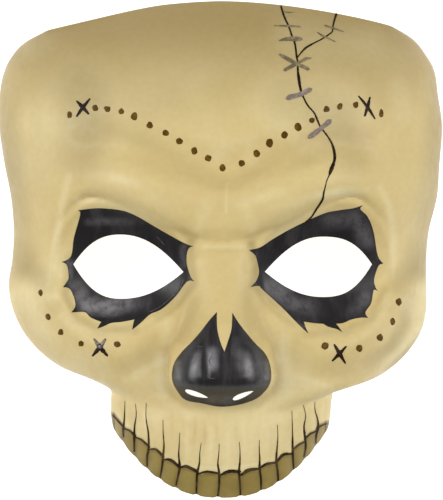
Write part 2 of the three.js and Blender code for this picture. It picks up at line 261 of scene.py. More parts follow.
# Brush strokes: the points that the brush went through, each with the stroke's width there, in pixels.
CROSSES = [
    [(76.6, 101, 1.6), (82, 106.4, 4), (88.4, 113.8, 2.2)],
    [(89.8, 98.9, 1.6), (83, 107.2, 3.8), (76.7, 116.2, 2)],
    [(358.7, 96.1, 1.4), (367, 106.2, 3), (371.5, 113, 2.4), (375, 118.9, 1.2)],
    [(370, 97.3, 1.6), (368, 105.5, 3.4), (364.9, 115.8, 2)],
    [(94, 338.9, 1.6), (100, 347.2, 4.6), (107.2, 355.6, 2.2)],
    [(105.2, 339.5, 2.4), (99.4, 347.6, 4.4), (92.6, 355.8, 2)],
    [(334.4, 344.8, 2), (339.6, 353.6, 4), (345.4, 363.2, 1.6)],
    [(346.3, 346.3, 1.6), (339.4, 353.8, 3.8), (332.4, 360.9, 1.6)],
]
CRACK = [
    [
        (281, 6, 1.7), (284, 16, 1.7), (289, 27, 1.6), (292, 36, 1.8), (295, 44, 1.8), (296.6, 56, 1.8),
        (297.6, 62, 1.7), (298, 72, 2.2), (299.2, 81, 2.9), (300.6, 89, 2.3), (303.8, 98, 1.7),
        (308.2, 106, 1.6), (314, 112.6, 1.6), (317.2, 119.5, 1.8), (320, 126, 1.6), (324.4, 132, 1.6),
        (329.4, 139, 1.6),
        (332.8, 146, 2.2), (334.7, 155, 2.7), (334.3, 161, 2.6), (332.2, 167, 3.7), (330.5, 171.5, 3.4),
        (328.9, 176, 1.2), (327, 180, 1), (325.5, 186, 1), (324, 192, 1.5), (322.8, 199, 2), (320, 204, 2),
        (316, 210, 1.8), (311.5, 217, 1.7), (306, 222.6, 2.4),
    ],
    [
        (297.2, 57.5, 1.2), (303, 50.5, 1.7), (307, 47, 2.1), (314, 43, 1.5), (321, 39.5, 1.3),
        (325, 37, 1.5), (329.5, 34, 1.3), (332.5, 31, 1.3), (333, 26, 1.4), (334.5, 20, 1.8),
        (336.4, 14, 2.2),
    ],
]
WORN_STITCHES = [
    [(274.5, 25.5, 1), (287, 25.8, 1.9), (300, 26.6, 1.6)],
    [(279, 40.6, 0.8), (286, 39, 3.6), (296, 38.8, 4.8), (301, 39, 3.4)],
    [(279.8, 54.4, 2.2), (284, 56.8, 4), (295, 63, 3.4), (302, 66, 3.8), (308.2, 69, 3.6)],
    [(284.8, 70, 3.2), (291, 66.6, 3.8), (299, 62.4, 2.6), (306, 58.8, 3), (311.4, 58, 0.8)],
    [(324.5, 25, 0.9), (331, 27.4, 1.8), (338, 29.6, 1.4), (343.4, 31.6, 0.7)],
    [(317.4, 32, 0.8), (323, 36, 1.7), (329, 38.6, 1.6), (335.4, 41.6, 0.6)],
    [(284, 11.6, 0.6), (289, 12.3, 1.1), (294, 11.8, 0.5)],
]
STITCHES = [
    [(287.6, 98.2, 4.6), (291, 96.8, 5.6), (299, 94.8, 4.6), (306, 91.6, 5), (310.4, 89.4, 4.8)],
    [(309.6, 137, 5), (313, 134.6, 5.8), (321, 128.4, 4.4), (326, 124.4, 5), (329.4, 121.2, 4.8)],
]

# Scratches and cracks in the black, and thin painted highlights along the lower edges of the left eye's
# black.
SCRATCHES_AND_GLINTS = [
    [(183.3, 279.2, 1), (180, 288.3, 0.9), (170, 298.3, 0.7), (160, 306.7, 0.7), (150, 311.7, 0.4)],
    [(90, 305, 0.4), (96.7, 313.3, 0.7), (105, 316.3, 0.8), (116.7, 315, 0.8), (123.3, 313.7, 0.4)],
    [(156.7, 236.7, 0.5), (160.8, 240.8, 0.9), (164.2, 245, 0.5)],
    [(363.3, 234.2, 0.5), (366, 238, 0.8), (367.5, 242.5, 0.4)],
    [(274, 295, 0.4), (279, 291, 0.8), (283, 293.3, 0.4)],
    [(305, 301.7, 0.5), (305.6, 305, 0.7), (306.7, 308.3, 0.4)],
    [(211.4, 356, 0.4), (209.3, 361.4, 0.8), (212, 366.5, 0.4)],
    [(193, 346.4, 0.3), (198, 346.2, 0.6), (203, 347, 0.3)],
    [(208, 377, 0.4), (211, 378.4, 0.7), (215, 378.3, 0.3)],
]

# The lines between the teeth: where each starts on the bone, meets the gum and ends at the tip.
TOOTH_LINES = [
    ((125.4, 401), (124, 427.6), (121.9, 437)),
    ((135.4, 404), (135.4, 437), (135, 451.5)),
    ((146.6, 403), (149.3, 448), (147, 465.8)),
    ((163, 420), (163.7, 457), (159.7, 477.8)),
    ((180, 433), (179.3, 467), (176.4, 485)),
    ((200.3, 443), (198.1, 473), (196.8, 493)),
    ((219.5, 444), (219.5, 474), (217.6, 499)),
    ((239, 442), (240.4, 472), (240.4, 496)),
    ((259, 440), (259.8, 467.4), (261.4, 490)),
    ((277.3, 425), (276.2, 461), (277.8, 483)),
    ((292.2, 411), (292.5, 451.5), (293.8, 470)),
    ((303.6, 405), (305.6, 437), (305.6, 457)),
    ((314.8, 402), (317.2, 427.6), (316.4, 443)),
]

# The gum over each tooth, from left to right: three places that the brush went through, with its width.
GUM_ARCS = [
    [(112.4, 415, 1.2), (118, 421, 1.8), (124.2, 428, 1.4)],
    [(124.2, 428.6, 1.6), (130, 431, 2), (135.2, 436, 3)],
    [(136, 437.4, 1.4), (142, 440.2, 2), (149.3, 447, 2)],
    [(149.6, 449.4, 1.4), (156, 449.4, 2.2), (163.4, 456.8, 2.6)],
    [(164, 459.6, 1.6), (170.6, 460, 3), (179, 466.6, 3)],
    [(179.6, 468, 1.8), (186.4, 466.4, 3.2), (197.6, 471.8, 3.2)],
    [(198.4, 474, 1.4), (206.8, 471.6, 2.4), (219, 473.4, 2)],
    [(220, 475.4, 1.8), (229, 471.4, 3.4), (240, 471.6, 3)],
    [(241.2, 475, 2.6), (248.6, 470.2, 3.6), (259.2, 468.8, 2.2)],
    [(259.8, 468.2, 1.6), (266.4, 464, 2.4), (275.8, 462.6, 2.2)],
    [(276.6, 462, 2), (283.4, 454.6, 3), (292.2, 454, 1.8)],
    [(293, 449.6, 1.4), (298.4, 445, 2), (305, 441.6, 1.6)],
    [(305.8, 438, 1.4), (310.4, 433.8, 2), (316.8, 431, 1.4)],
    [(317, 428, 1.4), (321.6, 425.6, 1.6), (327, 423.5, 1)],
]

# A line between two teeth, in pixels: its widths in steps down to the gum and on to the tip, how far it sways
# to the sides, and over what length.
STEPS_TO_GUM = 3
STEPS_TO_TIP = 2
TOOTH_LINE_WIDTHS = (0.5, 0.8, 1.5, 2.4, 1.9, 1.6)
TOOTH_LINE_SWAY = 2.6
TOOTH_LINE_WAVE = 9

# The teeth in relief, in millimetres: the roots above the gum, the step at it, the teeth below it, and the
# notches between the tips. A place that is as full as the root or crown level neither rises nor sinks.
TOOTH_FULLNESS = 0.7
NARROWEST_TOOTH = 0.1
ROOT_SWELL = 1.2
ROOT_REACH = 16
ROOT_LEVEL = 0.6
CROWN_SWELL = 0.5
CROWN_LEVEL = 0.8
GUM_STEP = 0.45
GUM_STEP_REACH = 1.2
TIP_NOTCH = 0.45
TIP_FROM = -86
TIP_FULL = 6
TIP_HALF = 1.6

# The shades of paint by name. The hollows' shade and the darker strokes are painted shade, the lighter
# strokes are painted highlights, and the greyer black is partly scuffs and partly painted sheen. For those
# that follow
# the form: how strong they are, where they start and how far they reach.
TONES = ("hollow", "edge", "tooth", "seam", "shade", "light", "scuff_and_sheen")
TONE_REACH = 4
HOLLOW_SHADE = 0.2
HOLLOW_FULL = 2.2
TOP_TONE = 0.85
TOP_TONE_FROM = 38
TOP_TONE_REACH = 50
TEMPLE_TONE = 0.5
TEMPLE_FROM = 0.72
TEMPLE_LOW = -18
TEMPLE_FULL = 10
GUM_SOFT = 0.9
SEAM_DROP = 2.4
SEAM_TONE = 0.55

# Soft strokes of darker bone, in pixels, partly the mask's own airbrushing and partly painted shade in its
# creases and hollows and under its brows: the reach to each side, and the places gone through, each with its
# strength.
AIRBRUSH_AND_PAINTED_SHADE = {
    "left brow crease": (9, [(193, 238, 0.4), (172, 229, 0.2), (142, 211, 0.08), (118, 203, 0.05)]),
    "right brow crease": (9, [(250, 240, 0.3), (272, 229, 0.22), (302, 214, 0.05)]),
    "left valley": (
        15,
        [(80, 136, 0.05), (110, 132, 0.16), (140, 141, 0.28), (172, 156, 0.22), (218, 182, 0.18)],
    ),
    "right valley": (
        15,
        [(372, 134, 0.1), (335, 134, 0.15), (308, 142, 0.3), (280, 153, 0.24), (230, 184, 0.18)],
    ),
    "under the right valley": (13, [(296, 163, 0.1), (311, 158, 0.26), (328, 150, 0.1)]),
    "left of the forehead": (40, [(82, 90, 0.42), (88, 122, 0.52), (82, 154, 0.42)]),
    "over the left brow": (30, [(112, 96, 0.1), (140, 112, 0.12), (172, 96, 0.14)]),
    "right of the forehead": (36, [(290, 103, 0.22), (338, 120, 0.4), (352, 156, 0.3)]),
    "left side": (26, [(34, 140, 0.05), (40, 170, 0.15), (44, 190, 0.1)]),
    "left temple": (
        20,
        [(8, 95, 0.25), (8, 130, 0.35), (12, 170, 0.48), (20, 235, 0.2), (27, 267, 0.55), (42, 280, 0.3)],
    ),
    "right temple": (
        20,
        [(440, 80, 0.42), (434, 180, 0.35), (424, 235, 0.2), (416, 268, 0.55), (402, 284, 0.35)],
    ),
    "right cheek": (11, [(410, 298, 0.3), (404, 325, 0.5), (392, 346, 0.5), (368, 362, 0.2)]),
    "right cheek edge": (8, [(421, 338, 0.35), (405, 357, 0.75), (388, 374, 0.3)]),
    "left cheek": (14, [(20, 308, 0.1), (30, 330, 0.15), (56, 356, 0.1)]),
    "left cheek hollow": (13, [(126, 364, 0.15), (144, 355, 0.2), (158, 346, 0.06)]),
    "left jaw": (11, [(122, 404, 0.1), (133, 416, 0.14)]),
    "left of the bridge": (9, [(196, 300, 0.15), (190, 322, 0.2), (180, 340, 0.12)]),
    "right of the bridge": (9, [(246, 262, 0.1), (246, 300, 0.15), (252, 328, 0.15)]),
    "right of the nose": (6, [(273, 352, 0.1), (278, 368, 0.22), (275, 390, 0.1)]),
    "inside of the left eye": (
        8,
        [(190, 244, 0.4), (191, 262, 0.3), (193, 284, 0.45), (178, 302, 0.4), (158, 318, 0.25)],
    ),
    "inside of the right eye": (
        8,
        [(252, 246, 0.5), (256, 264, 0.55), (254, 285, 0.55), (272, 305, 0.35), (292, 324, 0.2)],
    ),
    "under the left eye": (
        7,
        [(136, 330, 0.25), (100, 331, 0.3), (76, 318, 0.3), (66, 294, 0.4), (69, 256, 0.28)],
    ),
    "under the right eye": (7, [(306, 334, 0.25), (345, 332, 0.3), (372, 318, 0.3), (384, 290, 0.25)]),
    "first root": (3, [(172, 410, 0.02), (172, 424, 0.15), (171, 440, 0.05)]),
    "second root": (3, [(196, 412, 0.02), (195, 430, 0.2), (193, 450, 0.05)]),
    "third root": (3.2, [(204, 418, 0.02), (205, 436, 0.22), (203, 456, 0.1)]),
    "fourth root": (3, [(216, 416, 0.02), (217, 432, 0.14), (217, 448, 0.05)]),
    "fifth root": (3, [(236, 416, 0.02), (236, 432, 0.12), (237, 446, 0.05)]),
    "sixth root": (3, [(270, 422, 0.02), (271, 440, 0.1), (270, 456, 0.05)]),
}

# Soft strokes of lighter bone, mostly painted highlights on the brows, rims, ridges and roots, partly the
# mask's own dry-brushed paint.
DRY_BRUSH_AND_PAINTED_HIGHLIGHTS = {
    "left brow": (8, [(104, 175, 0.08), (120, 179, 0.25), (136, 184, 0.15)]),
    "right brow": (9, [(238, 206, 0.1), (262, 198, 0.2), (280, 192, 0.15)]),
    "over the nose": (14, [(217, 155, 0.22), (236, 146, 0.1), (248, 142, 0.16), (250, 158, 0.14)]),
    "crease between the brows": (3, [(227, 184, 0.15), (226, 212, 0.25)]),
    "left of the crease": (11, [(206, 206, 0.12), (198, 228, 0.16)]),
    "right of the crease": (11, [(246, 208, 0.14), (252, 228, 0.2)]),
    "over the left eye": (7, [(78, 200, 0.22), (108, 204, 0.25), (138, 213, 0.2), (168, 226, 0.12)]),
    "over the right eye": (8, [(296, 204, 0.15), (314, 197, 0.35), (340, 192, 0.58), (366, 192, 0.15)]),
    "under the right brow": (6, [(298, 219, 0.1), (312, 214, 0.26), (330, 206, 0.1)]),
    "outside of the left eye": (
        6,
        [(69, 176, 0.22), (62, 204, 0.3), (57, 237, 0.34), (55, 258, 0.24), (46, 288, 0.1)],
    ),
    "outside of the right eye": (
        6,
        [(380, 188, 0.2), (389, 206, 0.3), (394, 237, 0.3), (393, 260, 0.25), (391, 278, 0.1)],
    ),
    "ledge between the eyes": (4, [(204, 247, 0.2), (244, 247, 0.2)]),
    "left cheek ridge": (9, [(160, 322, 0.18), (168, 322, 0.22), (164, 342, 0.18)]),
    "left cheek fold": (7, [(126, 381, 0.1), (143, 371, 0.24), (160, 361, 0.15)]),
    "left of the nose": (9, [(160, 356, 0.24), (160, 374, 0.3), (162, 394, 0.26)]),
    "beside the nose": (12, [(284, 340, 0.3), (283, 356, 0.44), (287, 374, 0.32), (286, 392, 0.2)]),
    "right cheek spot": (11, [(408, 300, 0.14), (411, 310, 0.18)]),
    "right cheek rim": (5, [(418, 328, 0.12), (402, 346, 0.1), (386, 362, 0.12)]),
    "low on the left cheek": (13, [(74, 352, 0.1), (100, 360, 0.22), (106, 376, 0.14)]),
    "under the nose": (8, [(178, 412, 0.1), (190, 415, 0.22), (202, 416, 0.08)]),
    "right cheek fold": (5, [(300, 376, 0.1), (318, 383, 0.2), (332, 388, 0.2)]),
    "top of the forehead": (30, [(290, 36, 0.12), (330, 42, 0.1), (370, 45, 0.16), (392, 60, 0.08)]),
    "right of the forehead": (18, [(398, 88, 0.14), (402, 114, 0.16)]),
    "top left corner": (16, [(30, 50, 0.1), (44, 44, 0.06)]),
    "edge of the gum": (
        4,
        [
            (163, 454, 0.1), (180, 464, 0.3), (198, 468, 0.36), (219, 470, 0.36), (240, 468, 0.36),
            (260, 464, 0.3), (276, 458, 0.2),
        ],
    ),
    "first root": (3.5, [(187, 418, 0.05), (187, 440, 0.2), (187, 460, 0.08)]),
    "second root": (4, [(210, 420, 0.05), (211, 444, 0.22), (210, 462, 0.1)]),
    "third root": (4, [(228, 424, 0.05), (228, 446, 0.2), (228, 464, 0.12)]),
    "fourth root": (3.5, [(243, 416, 0.05), (243, 434, 0.15), (245, 452, 0.1)]),
}

# Greyer places in the black, mostly painted sheen and painted reflections on the lids and the nose, and the
# worn place on the cross on the left cheek.
SCUFFS_AND_SHEEN = {
    "left lower lid": (
        13,
        [(76, 288, 0.35), (87, 305, 0.9), (112, 307, 0.95), (128, 303, 0.6), (142, 302, 0.1)],
    ),
    "left upper lid": (6, [(88, 222, 0.2), (108, 221, 0.3), (130, 222, 0.15)]),
    "left inner corner": (6, [(183, 248, 0.3), (184, 264, 0.3)]),
    "left outer corner": (6, [(70, 262, 0.4), (69, 276, 0.4)]),
    "right lower lid": (12, [(272, 288, 0.4), (292, 303, 0.45), (306, 308, 0.3), (320, 312, 0.05)]),
    "right outer lid": (10, [(354, 310, 0.15), (366, 298, 0.3)]),
    "right upper lid": (14, [(330, 220, 0.25), (356, 218, 0.3), (368, 240, 0.35)]),
    "bulb of the nose": (8, [(212, 352, 0.7), (213, 366, 0.95)]),
    "left edge of the nose": (6, [(178, 364, 0.45), (178, 377, 0.5)]),
    "left streak of the nose": (5.5, [(197, 350, 0.1), (195, 363, 0.85), (192, 378, 0.4)]),
    "right streak of the nose": (5.5, [(247, 352, 0.1), (248, 365, 0.8), (251, 378, 0.45)]),
    "sheen right of the nose": (7, [(256, 354, 0.1), (258, 364, 0.28), (259, 378, 0.2)]),
    "right edge of the nose": (5, [(266, 362, 0.3), (267, 377, 0.7)]),
    "right of the tip": (8, [(236, 342, 0.15), (240, 366, 0.3)]),
    "under the tip": (8, [(210, 400, 0.3), (230, 400, 0.3)]),
    "cross on the left cheek": (5, [(95, 341, 0.6), (100, 345, 0.9), (104, 341, 0.7)]),
}

# How far each coat of paint stands off the moulding, and how much of the sheet is kept round a mark to cut
# it from, in millimetres.
UNDER_PAINT = 0.05
COAT = 0.03
FIRST_COAT, SECOND_COAT, THIRD_COAT = 1, 2, 3
FILM_MARGIN = 3

# The unevenness of edges painted by hand: its strength on strokes and dots, how fine it is along a stroke,
# and the slice of the noise that each kind of mark reads.
EDGE_WOBBLE = 0.25
DAB_WOBBLE = 0.3
EDGE_GRAIN = 0.7
STROKE_SLICE, TOOTH_LINE_SLICE, DAB_SLICE = 3, 5, 7

# Colours as they show on a screen, from 0 to 255. The shades go over the bone in the order they are listed.
BONE = (214, 194, 138)
DULL_BONE = (209, 187, 128)
CLEAR_BONE = (219, 201, 148)
WARM_BONE = (214, 188, 134)
# Over the bone, the hollow and shade colours lay on painted shade, and the light colour lays on painted
# highlights.
BONE_SHADES = {
    "hollow": (158, 134, 84),
    "edge": (150, 128, 78),
    "shade": (146, 126, 75),
    "light": (238, 228, 184),
}
DARK_WASH = (141, 121, 63)
PALE_WASH = (152, 133, 72)
SEAM_WASH = (104, 86, 42)
PLASTIC = (205, 190, 150)
DULL_PLASTIC = (196, 180, 138)
CLEAR_PLASTIC = (212, 198, 160)
BLACK = (36, 34, 35)
THICK_BLACK = (29, 27, 28)
STREAKED_BLACK = (54, 51, 53)
# The greyer black, for its scuffs and for its painted sheen.
DARK_SCUFF_AND_SHEEN = (48, 46, 48)
PALE_SCUFF_AND_SHEEN = (128, 125, 128)
WORN_INK = (172, 164, 156)

# Roughness, and how strongly a paint mirrors.
BONE_ROUGH = (0.42, 0.56)
PAINT_ROUGH = 0.5
PLASTIC_ROUGH = 0.6
BONE_GLOSS = 0.3
THIN_GLOSS = 0.1

# Patches in the finishes: the scale, detail and roughness of the noise, and the run of its values over which
# the patches come in. The shares below say how strong some of them are.
PATCHES = {
    "broad bone": (22, 2, 0.5, 0.35, 0.65),
    "warm bone": (60, 4, 0.5, 0.5, 0.75),
    "tooth wash": (130, 4, 0.5, 0.35, 0.65),
    "bone specks": (420, 3, 0.5, 0.3, 0.7),
    "bone sheen": (240, 4, 0.5, 0.3, 0.7),
    "plastic": (35, 3, 0.5, 0.3, 0.7),
    "black streaks": (160, 5, 0.6, 0.4, 0.75),
    "black scuffs and sheen": (300, 5, 0.7, 0.3, 0.6),
    "coarse thin paint": (300, 4, 0.5, 0.4, 0.68),
    "thin paint": (420, 4, 0.5, 0.4, 0.68),
    "fine thin paint": (500, 4, 0.5, 0.4, 0.68),
}
WARM_SHARE = 0.35
SPECK_SHADES = (0.975, 1.02)
SCUFF_AND_SHEEN_SHARES = (0.3, 1)

# Fine unevenness: the scale, detail and roughness of the noise, and its height in millimetres.
GRAINS = {
    "bone": (1400, 3, 0.5, 0.03),
    "plastic": (900, 3, 0.5, 0.05),
    "black": (420, 5, 0.65, 0.1),
    "thin paint": (800, 3, 0.5, 0.04),
}
BLACK_GRAIN_STRETCH = (1, 0.4, 1)

# The two blacks: how strongly each mirrors, its roughness where smooth and where brushed, and how close its
# brush marks lie across, up and out of the face.
BLACKS = {
    "eye_black": (0.3, 0.36, 0.5, (1, 0.35, 0.6)),
    "nose_black": (0.4, 0.36, 0.48, (2.2, 0.3, 0.5)),
}

# Paints put on in one stroke: the colours where thick and where thin, the patches between them, and the
# colour where they are worn.
THIN_PAINTS = {
    # The grey of the scratches, also used for the painted highlights along the left eye's lids.
    "scuffed_black_and_glints": ((70, 66, 68), (112, 106, 108), "fine thin paint", None),
    "brown_paint": ((82, 56, 8), (110, 80, 22), "fine thin paint", None),
    "ink_paint": ((26, 17, 10), (52, 36, 22), "thin paint", WORN_INK),
    "line_paint": ((44, 32, 18), (84, 66, 38), "coarse thin paint", None),
    "stitch_paint": ((122, 109, 100), (156, 141, 129), "thin paint", None),
    "worn_stitch_paint": ((104, 95, 74), (142, 127, 96), "thin paint", None),
}

# The stage, in metres: a softbox up to each side, and a bright floor under a pale sky.
SOFTBOX_OUT = 0.82
SOFTBOX_Y = 0.16
SOFTBOX_HEIGHT = 0.84
SOFTBOX_SIZE = (0.3, 0.8)
SOFTBOX_POWER = {"left": 8.8, "right": 8.2}
MIDDLE = (0, 0, 0.04)
SKY_STRENGTH = 0.22
FLOOR_HALF = 3
FLOOR_GREY = (0.5, 0.5, 0.5)
FLOOR_ROUGH = 0.9
FLOOR_GLOW = 0.85
WHITE = (1, 1, 1, 1)


def bump(t):
    """1 in the middle, falling smoothly to 0 one reach away."""
    return (1 - t * t) ** 2 if abs(t) < 1 else 0.0


def ease(t):
    t = min(max(t, 0), 1)
    return t * t * (3 - 2 * t)


def smooth_between(a, b, c, d, t):
    """A smooth curve through four values, read between the middle two."""
    return b + 0.5 * t * (c - a + t * (2 * a - 5 * b + 4 * c - d + t * (3 * (b - c) + d - a)))


def read_row(table, column, place, wraps=False):
    """One column of a table at a place between two of its rows."""
    last = len(table) - 1
    row = math.floor(place) if wraps else min(math.floor(place), last - 1)

    def at(k):
        k = k % len(table) if wraps else min(max(k, 0), last)
        return table[k][column]

    return smooth_between(at(row - 1), at(row), at(row + 1), at(row + 2), place - row)


def place_of(table, value):
    """Where a value of the first column lies among a table's rows."""
    rises = table[1][0] > table[0][0]
    passed = sum(1 for row in table if (row[0] <= value if rises else row[0] >= value))
    if passed == 0:
        return 0
    if passed == len(table):
        return len(table) - 1
    before, after = table[passed - 1][0], table[passed][0]
    return passed - 1 + (value - before) / (after - before)


def out_from_axis(x):
    """How far to either side of the face's axis, eased across it."""
    return math.hypot(x - FACE_AXIS, AXIS_SOFT) - AXIS_SOFT


def brow_relief(out, y):
    place = place_of(BROW_CREST, out)
    up = y - read_row(BROW_CREST, CREST_Y, place)
    below = min(-up / read_row(BROW_CREST, CREST_REACH, place), 1)
    swell = bump(up / BROW_ABOVE) if up > 0 else 1 - below ** BROW_FULLNESS
    ridge = read_row(BROW_CREST, CREST_LIFT, place) * swell
    valley = bump((up - VALLEY_UP) / VALLEY_HALF) * bump(out / VALLEY_OUT)
    return ridge - VALLEY_DEPTH * valley


def around_socket(out, y):
    """How far a place is from the socket's middle, how far the edge is that way, and how high the bone."""
    across = SOCKET_OUT - out
    up = y - SOCKET_Y
    place = (math.atan2(up, across) / (2 * math.pi)) % 1 * len(SOCKET_EDGE)
    reach = read_row(SOCKET_EDGE, EDGE_AWAY, place, wraps=True)
    lift = read_row(SOCKET_EDGE, EDGE_LIFT, place, wraps=True)
    return math.hypot(across, up), reach, lift


def socket_relief(out, y):
    far, reach, lift = around_socket(out, y)
    sunk = SOCKET_DEPTH * max(0, 1 - (far / reach) ** 2) ** SOCKET_CURVE
    return lift * bump((far - reach - SOCKET_BONE) / SOCKET_BONE_HALF) - sunk


def swellings(forms, out, y):
    """The lift of a table of swellings and hollows at a place."""
    lift = 0.0
    for form_out, form_y, half_x, half_y, form_lift in forms.values():
        lift += form_lift * bump(math.hypot((out - form_out) / half_x, (y - form_y) / half_y))
    return lift


def fine_relief(x, y):
    """Low forms that show in the light alone."""
    far, reach, _ = around_socket(out_from_axis(x), y)
    bead = BEAD_LIFT * bump((far - reach) / BEAD_HALF)
    return bead + swellings(FINE_FORMS, x - FACE_AXIS, y)


def nose_relief(across, y):
    place = place_of(NOSE, y)
    share = abs(across) / read_row(NOSE, NOSE_HALF, place)
    if share >= 1:
        return 0.0
    side = (1 - share ** read_row(NOSE, NOSE_FLAT, place)) ** read_row(NOSE, NOSE_SOFT, place)
    return read_row(NOSE, NOSE_LIFT, place) * side


def relief(x, y):
    """How far the face stands off its plain cross-section."""
    out = out_from_axis(x)
    lift = brow_relief(out, y) + socket_relief(out, y) + nose_relief(x - FACE_AXIS, y)
    return lift + swellings(SOFT_FORMS, out, y)


def mm_per_pixel(height):
    """A pixel's size at a height off the floor."""
    return MM_PER_PIXEL * (1 - height / CAMERA_HEIGHT)


def pixel_of(x, y, height):
    """Where a point of the face shows in the photograph."""
    scale = mm_per_pixel(height)
    return PHOTO_WIDTH / 2 + (x - CAMERA_X) / scale, PHOTO_HEIGHT / 2 - (y - CAMERA_Y) / scale


def flat_mm(pixel, height=FACE_HEIGHT):
    """A pixel as millimetres on the face, at one height off the floor."""
    scale = mm_per_pixel(height)
    x = CAMERA_X + (pixel[0] - PHOTO_WIDTH / 2) * scale
    y = CAMERA_Y + (PHOTO_HEIGHT / 2 - pixel[1]) * scale
    return x, y


def line_x(line, y):
    """Where a line between two teeth crosses a level."""
    (x0, y0), (x1, y1), (x2, y2) = line
    if y > y1:
        return x1 + (x0 - x1) * (y - y1) / (y0 - y1)
    return x1 + (x2 - x1) * (y - y1) / (y2 - y1)


LINES_MM = [tuple(flat_mm(pixel) for pixel in line) for line in TOOTH_LINES]
GUM_MM = [flat_mm(point[:2]) for arc in GUM_ARCS for point in arc]


def gum_level(x):
    """The height of the gum's edge on the face."""
    passed = sum(1 for point in GUM_MM if point[0] < x)
    if passed in (0, len(GUM_MM)):
        return GUM_MM[min(passed, len(GUM_MM) - 1)][1]
    left, right = GUM_MM[passed - 1], GUM_MM[passed]
    return left[1] + (right[1] - left[1]) * (x - left[0]) / (right[0] - left[0])


def tooth_swell(x, y):
    """How full a tooth is across its width: 0 at its two sides, and 1 in the middle."""
    xs = [line_x(line, y) for line in LINES_MM]
    tooth = sum(1 for edge in xs if edge < x)
    left = xs[tooth - 1] if tooth > 0 else GUM_MM[0][0]
    right = xs[tooth] if tooth < len(xs) else GUM_MM[-1][0]
    share = (x - left) / max(right - left, NARROWEST_TOOTH)
    return math.sin(math.pi * share) ** TOOTH_FULLNESS if 0 < share < 1 else 0.0


def below_gum(up, reach):
    """0 above the gum's edge and 1 below it, with the change spread over a reach."""
    return ease(0.5 - up / reach)


def tooth_relief(x, y):
    """The swelling of the tooth roots, and the teeth below the gum."""
    if y > LINES_MM[0][0][1] + ROOT_REACH:
        return 0.0
    swell = tooth_swell(x, y)
    if swell == 0:
        return 0.0
    up = y - gum_level(x)
    below = below_gum(up, GUM_STEP_REACH)
    root = ROOT_SWELL * (swell - ROOT_LEVEL) * bump(up / ROOT_REACH) * (1 - below)
    crown = (CROWN_SWELL * (swell - CROWN_LEVEL) - GUM_STEP) * below
    return root + crown


def edge_dip(x, section):
    """How far the forehead's edge dips at a place across it."""
    near_edge = ease((section["mid_y"] - DIP_FROM) / (DIP_FULL - DIP_FROM))
    return DIP_DROP * near_edge * bump((x - DIP_X) / DIP_HALF)


def tip_notch(x, section):
    """How far the edge rises between the tips of two teeth."""
    tip = ease((TIP_FROM - section["mid_y"]) / TIP_FULL)
    if tip == 0:
        return 0.0
    gap = min(abs(x - line[2][0]) for line in LINES_MM)
    return TIP_NOTCH * tip * bump(gap / TIP_HALF)


def painted_hollow_shade(x, y):
    """Painted shade in the hollows, standing for the shade that falls there: how far a point lies below its
    surroundings.
    """
    ring = ((TONE_REACH, 0), (-TONE_REACH, 0), (0, TONE_REACH), (0, -TONE_REACH))
    around = sum(relief(x + dx, y + dy) for dx, dy in ring) / len(ring)
    return HOLLOW_SHADE * ease((around - relief(x, y)) / HOLLOW_FULL)


def edge_tone(y, turn):
    """Darker bone along the top of the forehead and down the temples."""
    top = TOP_TONE * ease((y - TOP_TONE_FROM) / TOP_TONE_REACH)
    temple = TEMPLE_TONE * ease((abs(turn) - TEMPLE_FROM) / (1 - TEMPLE_FROM))
    return max(top, temple * ease((y - TEMPLE_LOW) / TEMPLE_FULL))


def tooth_tone(x, y):
    """1 on a tooth, 0 on the bone above the gum."""
    return below_gum(y - gum_level(x), GUM_SOFT)


def seam_tone(x, y):
    """The darker wash along a tooth's sides and under its gum."""
    below = gum_level(x) - y
    if below < -GUM_SOFT:
        return 0.0
    return max(1 - tooth_swell(x, y), bump(below / SEAM_DROP))


def stroke_tone(strokes, pixel):
    """How strongly soft strokes colour a pixel."""
    px, py = pixel
    tone = 0.0
    for reach, points in strokes.values():
        strongest = 0.0
        for (x0, y0, first), (x1, y1, second) in zip(points, points[1:]):
            run_x, run_y = x1 - x0, y1 - y0
            along = ((px - x0) * run_x + (py - y0) * run_y) / (run_x ** 2 + run_y ** 2)
            along = min(max(along, 0), 1)
            away = math.hypot(px - x0 - along * run_x, py - y0 - along * run_y)
            if away < reach:
                strongest = max(strongest, (first + along * (second - first)) * bump(away / reach))
        tone += strongest
    return min(tone, 1)


def tones_at(point, turn):
    """The shares of each shade at a point of the outer surface."""
    x, y, height = point
    pixel = pixel_of(x, y, height)
    return {
        "hollow": painted_hollow_shade(x, y),
        "edge": edge_tone(y, turn),
        "tooth": tooth_tone(x, y),
        "seam": seam_tone(x, y),
        # The strokes of darker bone carry painted shade, and those of lighter bone carry painted highlights.
        "shade": stroke_tone(AIRBRUSH_AND_PAINTED_SHADE, pixel),
        "light": stroke_tone(DRY_BRUSH_AND_PAINTED_HIGHLIGHTS, pixel),
        "scuff_and_sheen": stroke_tone(SCUFFS_AND_SHEEN, pixel),
    }


def section_at(place):
    values = [read_row(SECTIONS, column, place) for column in range(len(SECTION_COLUMNS))]
    return dict(zip(SECTION_COLUMNS, values))


def face_point(section, turn):
    """A point of the outer surface across one section, from -1 at its left end to 1 at its right."""
    crowded = CENTRE_CROWDING * turn + (1 - CENTRE_CROWDING) * turn ** 3
    share = math.sin(crowded * math.pi / 2)
    x = FACE_AXIS + share * section["left" if share < 0 else "right"]
    y = section["mid_y"] + (section["end_y"] - section["mid_y"]) * abs(share) ** section["bow"]
    y += tip_notch(x, section) - edge_dip(x, section)
    rim = max(0, section["rim"])
    square = section["square"]
    rise = max(0, 1 - abs(share) ** square) ** (1 / square)
    fade = 1 - ease((abs(share) - RIM_FADE) / (1 - RIM_FADE))
    plain = rim + (section["crown"] - rim) * rise
    z = plain + fade * (relief(x, y) + fine_relief(x, y)) + tooth_relief(x, y)
    return Vector((x, y, z))


